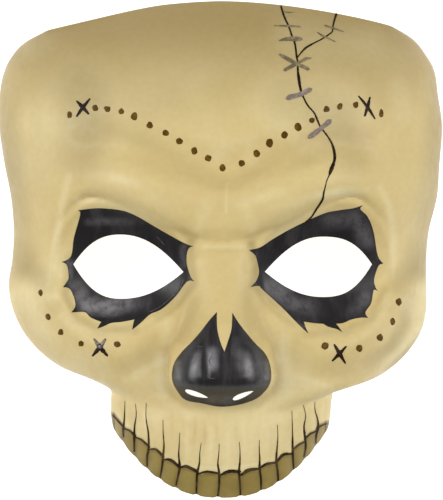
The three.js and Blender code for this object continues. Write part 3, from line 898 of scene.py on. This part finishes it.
def section_places():
    places = []
    for row, section in enumerate(SECTIONS[:-1]):
        steps = section[SECTION_COLUMNS.index("facets")] * ROWS_PER_FACET
        places += [row + k / steps for k in range(steps)]
    return places + [len(SECTIONS) - 1]


def face_sheet():
    """The outer surface as a fine sheet."""
    places = section_places()
    rows = len(places) - 1
    sections = [section_at(place) for place in places]
    sheet = bmesh.new()
    bmesh.ops.create_grid(sheet, x_segments=COLUMNS, y_segments=rows, size=1)
    layers = {name: sheet.verts.layers.float.new(name) for name in TONES}
    for vert in sheet.verts:
        row = round((1 - vert.co.y) / 2 * rows)
        turn = min(max(vert.co.x, -1), 1)
        point = face_point(sections[row], turn)
        vert.co = point * MM
        tones = tones_at(point, turn)
        for name, layer in layers.items():
            vert[layer] = tones[name]
    sheet.normal_update()
    return sheet


def mesh_object(name, shape):
    mesh = bpy.data.meshes.new(name)
    shape.to_mesh(mesh)
    shape.free()
    piece = bpy.data.objects.new(name, mesh)
    bpy.context.scene.collection.objects.link(piece)
    return piece


def settle(piece):
    """Makes a piece's modifiers part of its mesh and smooths it."""
    graph = bpy.context.evaluated_depsgraph_get()
    mesh = bpy.data.meshes.new_from_object(piece.evaluated_get(graph), depsgraph=graph)
    piece.modifiers.clear()
    piece.data = mesh
    mesh.shade_smooth()
    mesh.set_sharp_from_angle(angle=math.radians(SHARP_FROM))


def drop(piece):
    bpy.data.objects.remove(piece, do_unlink=True)


def plug(name, outlines, low=CUT_FROM, high=CUT_TO):
    """Upright prisms over closed outlines in millimetres."""
    shape = bmesh.new()
    for outline in outlines:
        corners = [shape.verts.new((x * MM, y * MM, low * MM)) for x, y in outline]
        face = shape.faces.new(corners)
        grown = bmesh.ops.extrude_face_region(shape, geom=[face])["geom"]
        top = [part for part in grown if isinstance(part, bmesh.types.BMVert)]
        bmesh.ops.translate(shape, verts=top, vec=(0, 0, (high - low) * MM))
    bmesh.ops.recalc_face_normals(shape, faces=shape.faces)
    return mesh_object(name, shape)


def cut(piece, cutter, operation):
    step = piece.modifiers.new(cutter.name, "BOOLEAN")
    step.operation = operation
    step.object = cutter
    step.solver = "EXACT"
    step.use_self = operation == "INTERSECT"
    step.material_mode = "TRANSFER"


def bezier(a, b, c, d):
    """Points along a curve from a to d, with handles b and c. The last one is left out."""
    points = []
    for k in range(HOLE_STEPS):
        t = k / HOLE_STEPS
        weights = ((1 - t) ** 3, 3 * t * (1 - t) ** 2, 3 * t * t * (1 - t), t ** 3)
        points.append(tuple(sum(w * p[axis] for w, p in zip(weights, (a, b, c, d))) for axis in (0, 1)))
    return points


def corner_handle(corner, top, slope):
    run = (top[0] - corner[0]) * CORNER_PULL
    rise = math.copysign(abs(run) * math.tan(math.radians(slope)), top[1] - corner[1])
    return corner[0] + run, corner[1] + rise


def top_handle(corner, top):
    return top[0] + (corner[0] - top[0]) * TOP_PULL, top[1]


def eye_outline(eye):
    inner, top, outer, bottom = eye["inner"], eye["top"], eye["outer"], eye["bottom"]
    return (
        bezier(inner, corner_handle(inner, top, INNER_RISE), top_handle(inner, top), top)
        + bezier(top, top_handle(outer, top), corner_handle(outer, top, OUTER_RISE), outer)
        + bezier(outer, corner_handle(outer, bottom, OUTER_DROP), top_handle(outer, bottom), bottom)
        + bezier(bottom, top_handle(inner, bottom), corner_handle(inner, bottom, INNER_DROP), inner)
    )


def nostril_outline(ends):
    """A leaf: each side starts straight up or down from the blunt end and runs out to the pointed one."""
    blunt, pointed = ends
    # Each side swells to three quarters of its handles' rise.
    rise = NOSTRIL_WIDTH / 2 * 4 / 3
    pull_x, pull_y = (near + (far - near) * NOSTRIL_PULL for near, far in zip(blunt, pointed))
    above = bezier(blunt, (blunt[0], blunt[1] + rise), (pull_x, pull_y + rise), pointed)
    below = bezier(pointed, (pull_x, pull_y - rise), (blunt[0], blunt[1] - rise), blunt)
    return above + below


# Finishes


def finish(name, colour, roughness):
    """A new paint or plastic: its material, its nodes and its shader."""
    material = bpy.data.materials.new(name)
    material.use_nodes = True
    tree = material.node_tree
    shader = tree.nodes["Principled BSDF"]
    shader.inputs["Base Color"].default_value = (*colour, 1)
    shader.inputs["Roughness"].default_value = roughness
    return material, tree, shader


def linear_colour(colour):
    """A screen's colour, from 0 to 255, as the linear one that a shader reads."""
    def linear(value):
        value /= 255
        return value / 12.92 if value <= 0.04045 else ((value + 0.055) / 1.055) ** 2.4
    return tuple(linear(value) for value in colour)


def node(tree, kind, **settings):
    new = tree.nodes.new(kind)
    for key, value in settings.items():
        setattr(new, key, value)
    return new


def noise_value(tree, scale, detail, rough, stretch):
    place = node(tree, "ShaderNodeTexCoord").outputs["Object"]
    if stretch:
        mapping = node(tree, "ShaderNodeMapping")
        mapping.inputs["Scale"].default_value = stretch
        tree.links.new(place, mapping.inputs["Vector"])
        place = mapping.outputs["Vector"]
    texture = node(tree, "ShaderNodeTexNoise")
    texture.inputs["Scale"].default_value = scale
    texture.inputs["Detail"].default_value = detail
    texture.inputs["Roughness"].default_value = rough
    tree.links.new(place, texture.inputs["Vector"])
    return texture.outputs["Fac"]


def ramp(tree, value, low, high, to_low=0, to_high=1):
    """A value's run from low to high, as another run."""
    new = node(tree, "ShaderNodeMapRange", interpolation_type="SMOOTHSTEP")
    for name, number in (("From Min", low), ("From Max", high), ("To Min", to_low), ("To Max", to_high)):
        new.inputs[name].default_value = number
    tree.links.new(value, new.inputs["Value"])
    return new.outputs["Result"]


def patches(tree, name, to_low=0, to_high=1, stretch=None):
    """Patches of a finish as a share: to_low between them, and to_high in them."""
    scale, detail, rough, low, high = PATCHES[name]
    return ramp(tree, noise_value(tree, scale, detail, rough, stretch), low, high, to_low, to_high)


# The sockets of a Mix node that mixes colours: the share, the colours below and above, and the result.
MIX_SHARE, MIX_BELOW, MIX_ABOVE = 0, 6, 7
MIX_RESULT = 2


def mix(tree, share, below, above, blend="MIX"):
    """One colour over another by a share. A colour is a socket or a screen's colour."""
    new = node(tree, "ShaderNodeMix", data_type="RGBA", blend_type=blend)
    for place, value in ((MIX_SHARE, share), (MIX_BELOW, below), (MIX_ABOVE, above)):
        if isinstance(value, bpy.types.NodeSocket):
            tree.links.new(value, new.inputs[place])
        elif place == MIX_SHARE:
            new.inputs[place].default_value = value
        else:
            new.inputs[place].default_value = (*linear_colour(value), 1)
    return new.outputs[MIX_RESULT]


def attribute(tree, name):
    return node(tree, "ShaderNodeAttribute", attribute_name=name).outputs["Fac"]


def grain(tree, shader, name, stretch=None):
    """A fine unevenness of the surface."""
    scale, detail, rough, height = GRAINS[name]
    value = noise_value(tree, scale, detail, rough, stretch)
    new = node(tree, "ShaderNodeBump")
    new.inputs["Distance"].default_value = height * MM
    tree.links.new(value, new.inputs["Height"])
    tree.links.new(new.outputs["Normal"], shader.inputs["Normal"])


def bone_paint():
    material, tree, shader = finish("bone_paint", linear_colour(BONE), PAINT_ROUGH)
    colour = mix(tree, patches(tree, "broad bone"), DULL_BONE, CLEAR_BONE)
    colour = mix(tree, patches(tree, "warm bone", 0, WARM_SHARE), colour, WARM_BONE)
    for name, shade in BONE_SHADES.items():
        colour = mix(tree, attribute(tree, name), colour, shade)
    wash = mix(tree, patches(tree, "tooth wash"), DARK_WASH, PALE_WASH)
    wash = mix(tree, ramp(tree, attribute(tree, "seam"), 0, 1, 0, SEAM_TONE), wash, SEAM_WASH)
    colour = mix(tree, attribute(tree, "tooth"), colour, wash)
    speck = patches(tree, "bone specks", *SPECK_SHADES)
    grey = node(tree, "ShaderNodeCombineColor")
    for socket in grey.inputs:
        tree.links.new(speck, socket)
    colour = mix(tree, 1, colour, grey.outputs["Color"], "MULTIPLY")
    tree.links.new(colour, shader.inputs["Base Color"])
    tree.links.new(patches(tree, "bone sheen", *BONE_ROUGH), shader.inputs["Roughness"])
    shader.inputs["Specular IOR Level"].default_value = BONE_GLOSS
    grain(tree, shader, "bone")
    return material


def bare_plastic():
    material, tree, shader = finish("bare_plastic", linear_colour(PLASTIC), PLASTIC_ROUGH)
    colour = mix(tree, patches(tree, "plastic"), DULL_PLASTIC, CLEAR_PLASTIC)
    tree.links.new(colour, shader.inputs["Base Color"])
    grain(tree, shader, "plastic")
    return material


def black_paint(name, gloss, smooth, rough, brush):
    """Brushed black, greyer where it is scuffed and where painted sheen stands for its reflections."""
    material, tree, shader = finish(name, linear_colour(BLACK), rough)
    shader.inputs["Specular IOR Level"].default_value = gloss
    streak = patches(tree, "black streaks", stretch=brush)
    colour = mix(tree, streak, THICK_BLACK, STREAKED_BLACK)
    # Greyer where the black is scuffed and where it carries painted sheen and painted reflections.
    grey = mix(tree, patches(tree, "black scuffs and sheen", *SCUFF_AND_SHEEN_SHARES), DARK_SCUFF_AND_SHEEN, PALE_SCUFF_AND_SHEEN)
    colour = mix(tree, attribute(tree, "scuff_and_sheen"), colour, grey)
    tree.links.new(colour, shader.inputs["Base Color"])
    tree.links.new(ramp(tree, streak, 0, 1, smooth, rough), shader.inputs["Roughness"])
    grain(tree, shader, "black", BLACK_GRAIN_STRETCH)
    return material


def thin_paint(name, thick, thin, pattern, worn):
    """Paint put on in one stroke, thinner in places, and worn to another colour where it is scuffed."""
    material, tree, shader = finish(name, linear_colour(thick), PAINT_ROUGH)
    shader.inputs["Specular IOR Level"].default_value = THIN_GLOSS
    colour = mix(tree, patches(tree, pattern), thick, thin)
    if worn:
        colour = mix(tree, attribute(tree, "scuff_and_sheen"), colour, worn)
    tree.links.new(colour, shader.inputs["Base Color"])
    grain(tree, shader, "thin paint")
    return material


# The shell


def skull_shell(sheet, cutters, finishes):
    shell = mesh_object("skull_shell", sheet.copy())
    for material in finishes:
        shell.data.materials.append(material)
    wall = shell.modifiers.new("wall", "SOLIDIFY")
    wall.thickness = WALL * MM
    wall.offset = -1
    wall.material_offset = 1
    rounded = shell.modifiers.new("rounded rim", "BEVEL")
    rounded.width = RIM_ROUND * MM
    rounded.segments = 2
    rounded.limit_method = "ANGLE"
    rounded.angle_limit = math.radians(ROUND_FROM)
    for cutter in cutters:
        cut(shell, cutter, "DIFFERENCE")
    settle(shell)
    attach(shell, "root")
    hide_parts("mask_shell")


# Paint on the shell


class Face:
    """The outer surface, for finding where a pixel of the photograph falls on it."""

    def __init__(self, sheet):
        self.sheet = sheet
        self.tree = BVHTree.FromBMesh(sheet)
        self.camera = Vector((CAMERA_X, CAMERA_Y, CAMERA_HEIGHT)) * MM

    def under(self, pixel):
        """The place under a pixel. One past the edge is taken at the height of the edge beside it."""
        ray = Vector((*flat_mm(pixel, 0), 0)) * MM - self.camera
        hit = self.tree.ray_cast(self.camera, ray)[0]
        if hit is None:
            beside = self.tree.find_nearest(Vector((*flat_mm(pixel), EDGE_HEIGHT)) * MM)[0]
            return flat_mm(pixel, beside.z / MM)
        return hit.x / MM, hit.y / MM


def smooth_line(points, steps):
    """A smooth open line through a few points."""
    line = []
    last = len(points) - 1
    for k in range(last):
        a, b = points[max(k - 1, 0)], points[k]
        c, d = points[k + 1], points[min(k + 2, last)]
        for step in range(steps):
            t = step / steps
            line.append(tuple(smooth_between(*numbers, t) for numbers in zip(a, b, c, d)))
    return line + [tuple(points[-1])]


def thorny_outline(points, steps=4):
    """A closed outline, smooth between its thorns."""
    thorns = [k for k, point in enumerate(points) if len(point) > 2]
    outline = []
    for first, last in zip(thorns, thorns[1:] + [thorns[0] + len(points)]):
        stretch = [points[k % len(points)][:2] for k in range(first, last + 1)]
        outline += smooth_line(stretch, steps)[:-1]
    return outline


def brush_stroke(points, steps=5):
    """The outline of a stroke through points that each have a width, with round ends."""
    line = smooth_line(points, steps)
    left, right = [], []
    for k, (x, y, width) in enumerate(line):
        before, after = line[max(k - 1, 0)], line[min(k + 1, len(line) - 1)]
        along = Vector((after[0] - before[0], after[1] - before[1])).normalized()
        half = width / 2 * (1 + EDGE_WOBBLE * noise.noise((x * EDGE_GRAIN, y * EDGE_GRAIN, STROKE_SLICE)))
        if k == 0:
            left.append((x - along.x * half, y - along.y * half))
        left.append((x - along.y * half, y + along.x * half))
        right.append((x + along.y * half, y - along.x * half))
        if k == len(line) - 1:
            right.append((x + along.x * half, y + along.y * half))
    return left + right[::-1]


def brush_strokes(strokes):
    return [brush_stroke(points) for points in strokes]


def dab(x, y, half_wide, half_tall, sides=18):
    """The outline of a dot, not quite round."""
    outline = []
    for k in range(sides):
        turn = 2 * math.pi * k / sides
        uneven = 1 + DAB_WOBBLE * noise.noise((x + math.cos(turn), y + math.sin(turn), DAB_SLICE))
        outline.append((x + half_wide * uneven * math.cos(turn), y + half_tall * uneven * math.sin(turn)))
    return outline


def dabs(dots):
    return [dab(*dot) for dot in dots]


def steps_between(first, second, steps):
    """Evenly spaced places from one point to another. The first point is left out."""
    return [tuple(a + (b - a) * k / steps for a, b in zip(first, second)) for k in range(1, steps + 1)]


def tooth_stroke(line):
    """A line between two teeth: a hair at the top, widest at the gum, and not quite straight."""
    top, gum, tip = line
    places = [top] + steps_between(top, gum, STEPS_TO_GUM) + steps_between(gum, tip, STEPS_TO_TIP)
    points = []
    for (x, y), width in zip(places, TOOTH_LINE_WIDTHS):
        sway = TOOTH_LINE_SWAY * noise.noise((top[0], y / TOOTH_LINE_WAVE, TOOTH_LINE_SLICE))
        points.append((x + sway, y, width))
    return brush_stroke(points)


def paint_film(name, face, outlines, coat, material, holes=()):
    """A coat of paint on the shell, inside outlines given in pixels."""
    plans = [[face.under(pixel) for pixel in outline] for outline in outlines]
    low_x = min(x for plan in plans for x, y in plan) - FILM_MARGIN
    high_x = max(x for plan in plans for x, y in plan) + FILM_MARGIN
    low_y = min(y for plan in plans for x, y in plan) - FILM_MARGIN
    high_y = max(y for plan in plans for x, y in plan) + FILM_MARGIN
    skin = face.sheet.copy()
    outside = []
    for vert in skin.verts:
        x, y = vert.co.x / MM, vert.co.y / MM
        if not (low_x < x < high_x and low_y < y < high_y):
            outside.append(vert)
    bmesh.ops.delete(skin, geom=outside, context="VERTS")
    film = mesh_object(name, skin)
    film.data.materials.append(material)
    top = UNDER_PAINT + COAT * coat
    thickness = film.modifiers.new("thickness", "SOLIDIFY")
    thickness.thickness = 2 * top * MM
    thickness.offset = 0
    shape = plug(name + "_shape", plans, 0, CUT_TO)
    shape.data.materials.append(material)
    cut(film, shape, "INTERSECT")
    for hole in holes:
        cut(film, hole, "DIFFERENCE")
    settle(film)
    drop(shape)
    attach(film, "root")


# Stage


def aim(thing, target):
    thing.rotation_euler = (Vector(target) - thing.location).to_track_quat("-Z", "Y").to_euler()


def softbox(name, location, power):
    light = bpy.data.lights.new(name, "AREA")
    light.shape = "RECTANGLE"
    light.size, light.size_y = SOFTBOX_SIZE
    light.energy = power
    lamp = bpy.data.objects.new(name, light)
    lamp.location = location
    aim(lamp, MIDDLE)
    bpy.context.scene.collection.objects.link(lamp)


def pale_floor():
    shape = bmesh.new()
    bmesh.ops.create_grid(shape, x_segments=1, y_segments=1, size=FLOOR_HALF)
    floor = mesh_object("floor", shape)
    material, _, shader = finish("floor", FLOOR_GREY, FLOOR_ROUGH)
    shader.inputs["Emission Color"].default_value = WHITE
    shader.inputs["Emission Strength"].default_value = FLOOR_GLOW
    floor.data.materials.append(material)


def studio():
    world = bpy.data.worlds.new("studio")
    world.use_nodes = True
    sky = world.node_tree.nodes["Background"]
    sky.inputs["Color"].default_value = WHITE
    sky.inputs["Strength"].default_value = SKY_STRENGTH
    bpy.context.scene.world = world
    for side, x in (("left", -SOFTBOX_OUT), ("right", SOFTBOX_OUT)):
        softbox(side + "_softbox", (x, SOFTBOX_Y, SOFTBOX_HEIGHT), SOFTBOX_POWER[side])
    bpy.context.scene.view_settings.view_transform = "Standard"


def camera():
    lens = bpy.data.cameras.new("camera")
    lens.sensor_fit = "HORIZONTAL"
    lens.sensor_width = SENSOR
    lens.lens = SENSOR * CAMERA_HEIGHT / (PHOTO_WIDTH * MM_PER_PIXEL)
    eye = bpy.data.objects.new("camera", lens)
    eye.location = Vector((CAMERA_X, CAMERA_Y, CAMERA_HEIGHT)) * MM
    bpy.context.scene.collection.objects.link(eye)
    bpy.context.scene.camera = eye


camera()
sheet = face_sheet()
face = Face(sheet)
bone, bare = bone_paint(), bare_plastic()
paints = {}
for name, row in BLACKS.items():
    paints[name] = black_paint(name, *row)
for name, row in THIN_PAINTS.items():
    paints[name] = thin_paint(name, *row)
black = paints["eye_black"]

holes = {}
for side, eye in EYE_HOLES.items():
    holes["eye_" + side] = plug("eye_hole_" + side, [eye_outline(eye)])
for side, ends in NOSTRILS.items():
    holes["nostril_" + side] = plug("nostril_" + side, [nostril_outline(ends)])
for hole in holes.values():
    hole.data.materials.append(black)

skull_shell(sheet, holes.values(), (bone, bare, black))
for side, points in EYE_BLACK.items():
    lids = [thorny_outline(points)]
    paint_film("eye_black_" + side, face, lids, FIRST_COAT, black, [holes["eye_" + side]])
nostrils = [holes["nostril_" + side] for side in NOSTRILS]
nose = [thorny_outline(NOSE_BLACK)]
paint_film("nose_black", face, nose, FIRST_COAT, paints["nose_black"], nostrils)

marks = {
    "scratches_and_glints": (brush_strokes(SCRATCHES_AND_GLINTS), THIRD_COAT, "scuffed_black_and_glints", "black_paint"),
    "brow_dots": (dabs(BROW_DOTS), FIRST_COAT, "brown_paint", "brown_paint"),
    "cheek_dots": (dabs(CHEEK_DOTS), FIRST_COAT, "brown_paint", "brown_paint"),
    "crosses": (brush_strokes(CROSSES), SECOND_COAT, "ink_paint", "black_paint"),
    "crack": (brush_strokes(CRACK), SECOND_COAT, "ink_paint", "black_paint"),
    "worn_stitches": (brush_strokes(WORN_STITCHES), THIRD_COAT, "worn_stitch_paint", "stitch_paint"),
    "stitches": (brush_strokes(STITCHES), THIRD_COAT, "stitch_paint", "stitch_paint"),
    "tooth_lines": ([tooth_stroke(line) for line in TOOTH_LINES], FIRST_COAT, "line_paint", "black_paint"),
    "gum_line": (brush_strokes(GUM_ARCS), SECOND_COAT, "line_paint", "black_paint"),
}
for name, (outlines, coat, paint, slot) in marks.items():
    paint_film(name, face, outlines, coat, paints[paint])
for hole in holes.values():
    drop(hole)

pale_floor()
studio()
